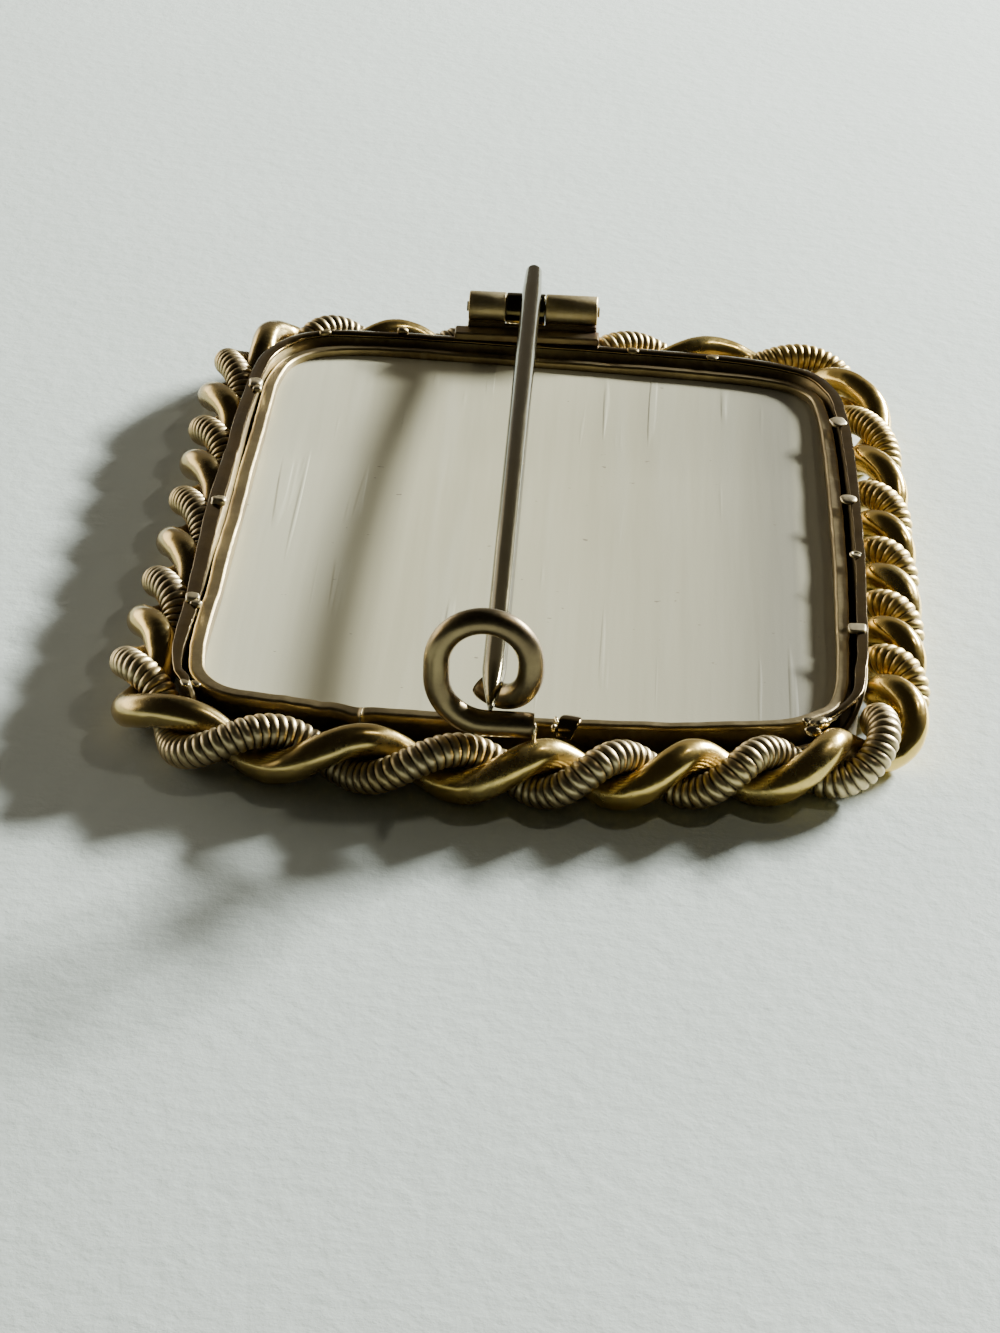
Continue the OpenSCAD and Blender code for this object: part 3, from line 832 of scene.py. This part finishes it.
# Bent claws, a small open loop beside them, and beads of solder
clawShape = {
    # every row: x, y, z, half sizes, turn, power, unevenness
    "claws": [
        (19.84, 15.55, 3.99, (0.54, 0.66, 0.19), 8, 2.6, 0.25),
        (20.06, 3.60, 3.99, (0.53, 0.58, 0.19), 0, 2.5, 0.15),
        (19.90, -14.2, 4.02, (0.54, 0.48, 0.15), 2, 6.0, 0.06),
        (-19.98, -1.55, 4.12, (0.46, 0.42, 0.30), 20, 2.8, 0.4),
        (-19.86, -14.85, 4.14, (0.44, 0.44, 0.20), 8, 4.0, 0.2),
        (-19.55, -15.5, 4.02, (0.34, 0.24, 0.22), -20, 3.0, 0.3),
        (-19.70, 17.0, 4.08, (0.42, 0.62, 0.24), 12, 3.0, 0.35),
        (-19.50, 16.1, 4.04, (0.30, 0.30, 0.22), 0, 3.0, 0.3),
    ],
    "farClaws": [
        (-10.45, 27.2, 4.10, (0.42, 0.34, 0.28), 0, 2.4, 0.3),
        (5.82, 25.85, 4.02, (0.40, 0.36, 0.20), 0, 2.6, 0.3),
        (11.4, 25.45, 4.00, (0.42, 0.28, 0.12), -12, 2.4, 0.3),
        (-15.9, 26.3, 4.08, (0.40, 0.30, 0.18), 30, 3.0, 0.3),
    ],
    "solder": [
        (17.35, -25.2, 3.62, (0.55, 0.42, 0.30), 40, 2.6, 0.5),
        (16.85, -25.05, 3.56, (0.42, 0.30, 0.26), 10, 2.4, 0.5),
        (17.0, -25.75, 3.45, (0.42, 0.30, 0.24), 20, 2.4, 0.5),
        (17.95, -24.75, 3.62, (0.20, 0.62, 0.18), -40, 2.4, 0.4),
        (18.25, -24.2, 3.66, (0.18, 0.52, 0.16), -40, 2.4, 0.4),
        (-18.45, -24.2, 3.47, (0.22, 0.32, 0.13), 40, 2.6, 0.3),
        (-19.0, -24.95, 3.95, (0.20, 0.42, 0.10), 30, 2.6, 0.3),
        (1.24, -29.35, 4.25, (0.12, 0.34, 0.72), 0, 2.6, 0.4),
        (2.42, -26.75, 3.72, (0.13, 0.34, 0.16), 15, 2.4, 0.6),
        (2.30, -27.25, 3.52, (0.12, 0.26, 0.20), -10, 2.4, 0.6),
    ],
    "loop": (20.2, -4.42, 4.06), "loopRadius": 0.27, "loopWire": 0.12, "loopSweep": 340,
    "loopSeat": (20.2, -4.42, 4.02), "seatHalf": (0.30, 0.28, 0.10),
}


def clawShapes():
    c = clawShape
    for name, paint in (("claws", clawMetal), ("farClaws", aged), ("solder", solderMetal)):
        parts = []
        for i, (x, y, z, half, turn, power, rough) in enumerate(c[name]):
            parts.append(lump((x, y, z), half, turn, power, rough, seed=3.7 * i + 1))
        if name == "claws":
            loop = arc(c["loop"], (1, 0, 0), (0, 1, 0), c["loopRadius"], 0, c["loopSweep"], 22)
            parts.append(wire(loop, [c["loopWire"]] * len(loop), 10))
            parts.append(lump(c["loopSeat"], c["seatHalf"]))
        points, faces = joinParts(parts)
        makePiece(name, points, faces, paint, "frame", ["setting"])


# Flap of the bezel's strip that is bent out beside the catch
flapShape = {
    "rows": [   # x, y, z of its middle line, half width, half thickness
        (3.35, -25.95, 3.56, 0.50, 0.10), (3.25, -26.35, 3.72, 0.60, 0.11),
        (3.10, -26.85, 3.70, 0.62, 0.10), (2.95, -27.35, 3.42, 0.56, 0.08),
        (2.88, -27.6, 3.10, 0.44, 0.06),
    ],
}


def bentFlap():
    rows = openLine(flapShape["rows"], 16)
    step = wireFrames(rows[:, :3])[0]
    points = []
    sides = 16
    for i in range(len(rows)):
        across = np.cross(step[i], [0.0, 0.0, 1.0])
        across /= np.linalg.norm(across)
        over = np.cross(across, step[i])
        for k in range(sides):
            q = 2 * math.pi * k / sides
            u = squarer(math.cos(q), 0.5) * rows[i, 3]
            v = squarer(math.sin(q), 0.7) * rows[i, 4]
            points.append(rows[i, :3] + across * u + over * v)
    faces = gridFaces(len(rows), sides, False) + endFaces(len(rows), sides)
    makePiece("bentFlap", points, faces, rimMetal, "frame", ["setting"])


hingeShape = {
    "y": 29.1, "z": 5.45, "radius": 1.12,
    "left": -5.9, "right": 3.2, "knuckleLeft": -3.25, "knuckleRight": -0.5, "play": 0.03,
    "plateTop": 4.55, "plateLow": 3.95, "plateReach": 2.75, "plateEnd": 1.35,
    "plateLeft": 0.85, "plateRight": 0.2,
    "shelfTop": 4.75, "shelfEnd": 1.0,   # low step of the plate under the middle knuckle
    "footLow": 4.2, "footTop": 4.88,     # blocks under the two outer knuckles
    "plateLap": 0.15, "footLap": 0.05,   # how far they run into the plate
    "edge": 0.12, "bore": 0.4, "pinBore": 0.41,
}


def boxPart(low, high):
    x0, y0, z0 = low
    x1, y1, z1 = high
    points = [(x, y, z) for z in (z0, z1) for y in (y0, y1) for x in (x0, x1)]
    faces = [(0, 2, 3, 1), (4, 5, 7, 6), (0, 1, 5, 4), (2, 6, 7, 3), (0, 4, 6, 2), (1, 3, 7, 5)]
    return points, faces


def tubePart(left, right, y, z, outer, inner):
    # knuckle with a bore and rounded ends
    sides, cut, nick = 48, 0.10, 0.03
    rows = [
        (left, inner), (left, outer - cut), (left + nick, outer - nick), (left + cut, outer),
        (right - cut, outer), (right - nick, outer - nick), (right, outer - cut), (right, inner),
    ]
    points = []
    for x, r in rows:
        for k in range(sides):
            q = 2 * math.pi * k / sides
            points.append((x, y + r * math.sin(q), z + r * math.cos(q)))
    return points, gridFaces(len(rows), sides, True)


def hingeParts():
    h = hingeShape
    plate = boxPart(
        (h["left"] - h["plateLeft"], h["y"] - h["plateReach"], h["plateLow"]),
        (h["right"] + h["plateRight"], h["y"] - h["plateEnd"], h["plateTop"]),
    )
    shelf = boxPart(
        (h["left"], h["y"] - h["plateEnd"] - h["plateLap"], h["footLow"]),
        (h["right"], h["y"] - h["shelfEnd"], h["shelfTop"]),
    )
    knuckles = (
        (h["left"], h["knuckleLeft"] - h["play"]),
        (h["knuckleRight"] + h["play"], h["right"]),
    )
    parts = [plate, shelf]
    footY = h["y"] - h["plateEnd"] - h["footLap"]
    for left, right in knuckles:
        parts.append(boxPart((left, footY, h["footLow"]), (right, h["y"], h["footTop"])))
    points, faces = joinParts(parts)
    piece = makePiece("hingePlate", points, faces, plateShadeMetal, "frame", ["setting"], False)
    mod = piece.modifiers.new("edge", "BEVEL")
    mod.width = h["edge"] * mm
    mod.segments = 2
    mod.limit_method = "ANGLE"
    mod.angle_limit = math.radians(35)
    tubes = []
    for left, right in knuckles:
        tubes.append(tubePart(left, right, h["y"], h["z"], h["radius"], h["bore"]))
    points, faces = joinParts(tubes)
    makePiece("hingeKnuckles", points, faces, barrelMetal, "frame", ["setting"])


catchShape = {
    "radius": 0.75, "y": -28.95, "footZ": 4.6, "footEnd": 1.2, "lowX": -1.45, "lowRadius": 2.9,
    "topZ": 8.4, "topRadius": 2.64, "curlZ": 8.2, "curlRadius": 2.55, "curlYaw": 37.5, "curlSweep": 115,
    "thin": 0.015, "footThin": 0.93, "endThin": (0.97, 0.86),
}


def scrollCatch():
    c = catchShape
    x, y, z = np.eye(3)
    leftX = c["lowX"] - c["lowRadius"]
    path = [np.array([c["footEnd"] - 0.3 * i, c["y"], c["footZ"]]) for i in range(9)]
    lowMid = (c["lowX"], c["y"], c["footZ"] + c["lowRadius"])
    path += arc(lowMid, x, z, c["lowRadius"], 270, -90, 20)
    topMid = (leftX + c["topRadius"], c["y"], c["topZ"])
    path += arc(topMid, x, z, c["topRadius"], 180, -180, 40)
    yaw = math.radians(c["curlYaw"])
    aside = np.array([math.cos(yaw), -math.sin(yaw), 0.0])
    start = np.array([leftX + 2 * c["topRadius"], c["y"], c["curlZ"]])
    path += arc(start - aside * c["curlRadius"], aside, z, c["curlRadius"], 0, -c["curlSweep"], 28)
    radii = [c["radius"] * (1 - c["thin"] + c["thin"] * wobble(i, scale=0.2)) for i in range(len(path))]
    radii[0] *= c["footThin"]
    radii[-2] *= c["endThin"][0]
    radii[-1] *= c["endThin"][1]
    points, faces = wire(path, radii, 28)
    makePiece("scrollCatch", points, faces, catchMetal, "frame", ["setting"])


settingWall()
rimStrip()
ledge()
clawShapes()
bentFlap()
hingeParts()
scrollCatch()
print("setting made")

# Pin: its tail, its bowed stem over the hinge's middle knuckle, and its point
pinShape = {
    "radius": 0.68, "hinge": (-1.5, 29.1, 6.8), "tip": (-1.14, -32.4, 7.45), "pointLength": 4.6,
    "tipRadius": 0.12, "pointCurve": 1.4, "tailLength": 3.6, "tailRadius": 0.58,
    "bow": 0.4,   # how far its middle stands up
    "roundSteps": 8, "taperSteps": 12, "stemSteps": 60, "pointSteps": 18,
}


def pinWire():
    s = pinShape
    hinge, tip = np.array(s["hinge"]), np.array(s["tip"])
    full = np.linalg.norm(tip - hinge)
    run = (tip - hinge) / full
    rows = []   # distance past the hinge, radius
    for t in range(s["roundSteps"] + 1):
        a = math.pi / 2 * t / s["roundSteps"]
        radius = max(0.02, s["tailRadius"] * math.sin(a))
        rows.append((-s["tailLength"] - s["tailRadius"] * math.cos(a), radius))
    for t in range(s["taperSteps"]):
        u = (t + 1) / s["taperSteps"]
        rows.append((-s["tailLength"] * (1 - u), s["tailRadius"] + (s["radius"] - s["tailRadius"]) * u))
    stem = full - s["pointLength"]
    for t in range(s["stemSteps"]):
        rows.append((stem * (t + 1) / s["stemSteps"], s["radius"]))
    for t in range(s["pointSteps"]):
        u = (t + 1) / s["pointSteps"]
        radius = s["radius"] + (s["tipRadius"] - s["radius"]) * u ** s["pointCurve"]
        rows.append((stem + s["pointLength"] * u, radius))
    path = []
    for d, r in rows:
        rise = s["bow"] * math.sin(math.pi * ramp(d, 0.0, full)) ** 2
        path.append(hinge + run * d + np.array([0.0, 0.0, rise]))
    wirePart = wire(path, [r for d, r in rows], 28)
    h = hingeShape
    knuckle = tubePart(h["knuckleLeft"], h["knuckleRight"], h["y"], h["z"], h["radius"], h["pinBore"])
    points, faces = joinParts([wirePart, knuckle])
    makePiece("pinWire", points, faces, pinDark, "swing_pin", ["pin"])


pinWire()

# The rivet's solid is shown as it is
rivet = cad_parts["hinge_rivet"]
rivet.data.materials.clear()
rivet.data.materials.append(aged)
print("pin made")


# Table, light and camera

def floor():
    mesh = bpy.data.meshes.new("tableTop")
    half = 1.2
    corners = [(-half, -half, 0), (half, -half, 0), (half, half, 0), (-half, half, 0)]
    mesh.from_pydata(corners, [], [(0, 1, 2, 3)])
    mesh.materials.append(tableTop())
    table = bpy.data.objects.new("tableTop", mesh)
    bpy.context.scene.collection.objects.link(table)


roomLight = {
    "lamps": [   # name, place in metres, way it faces, width, height, power, color
        ("windowStrip", (0.385, 0.39, 0.20), (-1.0, -0.9, 0.0), 0.18, 0.03, 16.4, (0.97, 1.0, 0.965)),
        ("windowEdge", (0.41, 0.52, 0.20), (-1.0, -0.9, 0.0), 0.20, 0.04, 4.5, (0.97, 1.0, 0.965)),
        ("ceilingLamp", (0.59, 0.21, 0.78), (-0.59, -0.21, -0.78), 0.05, 0.05, 0.75, (1.0, 0.92, 0.74)),
    ],
    "roomColor": (1.0, 0.91, 0.76),
    "roomDark": 0.014,
    "roomBack": 0.24, "backAway": (-0.25, 0.85), "backUp": (0.78, 0.48),
    # low and broad, behind the part on the left; it only lightens the shadow there
    "lowGlow": 4.8, "lowWay": (-0.85, 0.50, 0.15), "lowSpread": (0.78, 0.98), "lowUp": (0.44, 0.22),
}


def lightUp():
    for name, place, way, wide, high, power, color in roomLight["lamps"]:
        lamp = bpy.data.objects.new(name, bpy.data.lights.new(name, "AREA"))
        lamp.data.shape = "RECTANGLE"
        lamp.data.size = wide
        lamp.data.size_y = high
        lamp.data.energy = power
        lamp.data.color = color
        lamp.location = place
        lamp.rotation_mode = "QUATERNION"
        lamp.rotation_quaternion = (-Vector(way)).to_track_quat("Z", "Y")
        bpy.context.scene.collection.objects.link(lamp)


def room():
    # dim and warm: nearly dark in front, brighter behind the part
    world = bpy.data.worlds.new("room")
    bpy.context.scene.world = world
    world.use_nodes = True
    light = roomLight
    p = Paint(world, "Background", "Generated")
    right, away, up = p.axes()
    glow = p.smooth(away, *light["backAway"]) * p.smooth(up, *light["backUp"]) * light["roomBack"]
    aim = light["lowWay"]
    toLow = right * aim[0] + away * aim[1] + up * aim[2]
    low = p.smooth(toLow, *light["lowSpread"]) * p.smooth(up, *light["lowUp"])
    glow = glow + low * light["lowGlow"]
    p.finish(Color=light["roomColor"], Strength=glow + light["roomDark"])


cameraFit = {
    "place": (4.87, -194.32, 98.63),   # mm from the photo's middle
    "right": (0.9982, 0.0514, 0.0313),
    "up": (-0.0521, 0.4776, 0.8771),
    "back": (0.0302, -0.8771, 0.4794),
    "focalPixels": 3400,
    "imageHeight": 1333,
}


def camera():
    data = bpy.data.cameras.new("photoCamera")
    data.sensor_width = 36
    data.lens = cameraFit["focalPixels"] / cameraFit["imageHeight"] * data.sensor_width
    data.clip_start = 0.01
    data.clip_end = 10
    view = bpy.data.objects.new("photoCamera", data)
    bpy.context.scene.collection.objects.link(view)
    turn = Matrix((cameraFit["right"], cameraFit["up"], cameraFit["back"])).transposed()
    place = (Vector(cameraFit["place"]) - Vector((*photoMid, 0))) * mm
    view.matrix_world = Matrix.Translation(place) @ turn.to_4x4()
    bpy.context.scene.camera = view


floor()
lightUp()
room()
camera()
print("table, light and camera set")
